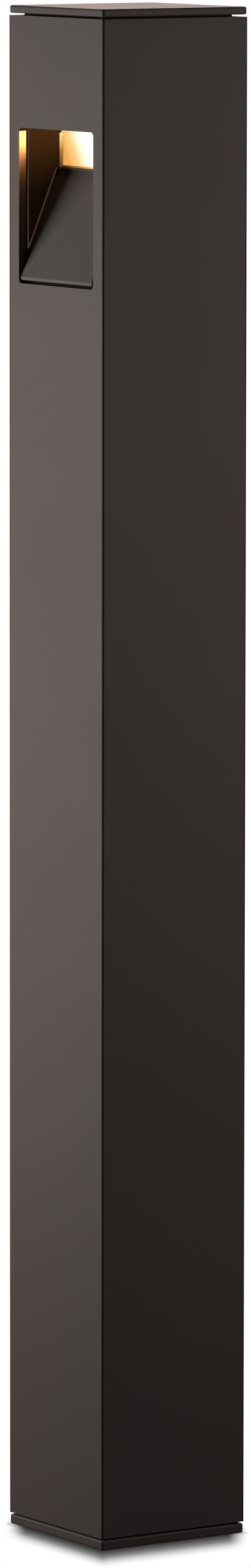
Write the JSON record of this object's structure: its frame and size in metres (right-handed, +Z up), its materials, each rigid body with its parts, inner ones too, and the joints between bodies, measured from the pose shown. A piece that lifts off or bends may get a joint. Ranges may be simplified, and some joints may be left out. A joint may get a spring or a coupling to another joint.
{
  "type": "bollard light",
  "caption": "Square dark bronze bollard light: thin cap and base plate held off the post by shadow gaps, and one recessed warm window near the top.",
  "frame": {"origin": "middle of the base plate's underside, on the ground", "axes": "+Z up along the post, -Y out of the light window, +X to the right seen from the window side"},
  "size_m": [0.12, 0.12, 1.0793],
  "materials": {
    "bronze_coat": "satin dark bronze powder coat with a fine texture",
    "dark_sheet": "satin dark bronze powder coat",
    "frame_sheet": "satin cream paint that picks up the lamp light",
    "opal_lens": "opal acrylic, lit warm white from behind",
    "black_rubber": "matt black rubber",
    "cast_aluminium": "machined aluminium",
    "stainless_steel": "stainless steel",
    "zinc_sheet": "zinc-plated sheet steel",
    "white_plastic": "white reflective plastic",
    "board_laminate": "white solder resist",
    "led_phosphor": "yellow phosphor",
    "grey_pad": "soft grey thermal pad",
    "driver_case": "light grey moulded case",
    "terminal_plastic": "black polyamide",
    "tinned_brass": "plated brass",
    "wire_jacket": "grey cable jacket",
    "earth_jacket": "green-yellow wire jacket"
  },
  "bodies": {
    "anchor_base": {"base_plate": "bronze_coat", "base_gasket": "black_rubber", "anchor_spigot": "dark_sheet", "spigot_screws": "stainless_steel"},
    "post": {"post_tube": "bronze_coat", "optic_housing": "dark_sheet", "glare_shield": "dark_sheet", "lens_frame": "frame_sheet", "diffuser_lens": "opal_lens", "window_gasket": "black_rubber", "lens_seal": "black_rubber", "heat_sink": "cast_aluminium", "post_grub_screws": "stainless_steel", "cap_grub_screws": "stainless_steel", "shield_screws": "stainless_steel", "weld_studs": "stainless_steel", "stud_nuts": "stainless_steel", "frame_screws": "stainless_steel", "sink_screws": "stainless_steel", "tray_screws": "stainless_steel", "tray_nuts": "stainless_steel", "driver_screws": "stainless_steel", "earth_stud": "stainless_steel", "earth_nut": "stainless_steel", "clamp_bars": "zinc_sheet", "gear_tray": "zinc_sheet", "tray_spacers": "zinc_sheet", "mixing_box": "white_plastic", "board_connector": "white_plastic", "led_board": "board_laminate", "led_chips": "led_phosphor", "thermal_pad": "grey_pad", "led_driver": "driver_case", "terminal_block": "terminal_plastic", "cable_clamp": "terminal_plastic", "terminal_screws": "tinned_brass", "earth_lug": "tinned_brass", "input_wires": "wire_jacket", "led_lead": "wire_jacket", "earth_wire": "earth_jacket"},
    "cap": {"top_cap": "bronze_coat", "cap_plug": "dark_sheet", "cap_seal": "black_rubber", "cap_screws": "stainless_steel"}
  },
  "joints": [
    {"name": "post_lift", "type": "slide", "parent": "anchor_base", "child": "post", "axis": [0, 0, 1], "range_m": [0, 0.075]},
    {"name": "cap_lift", "type": "slide", "parent": "post", "child": "cap", "axis": [0, 0, 1], "range_m": [0, 0.035]}
  ]
}
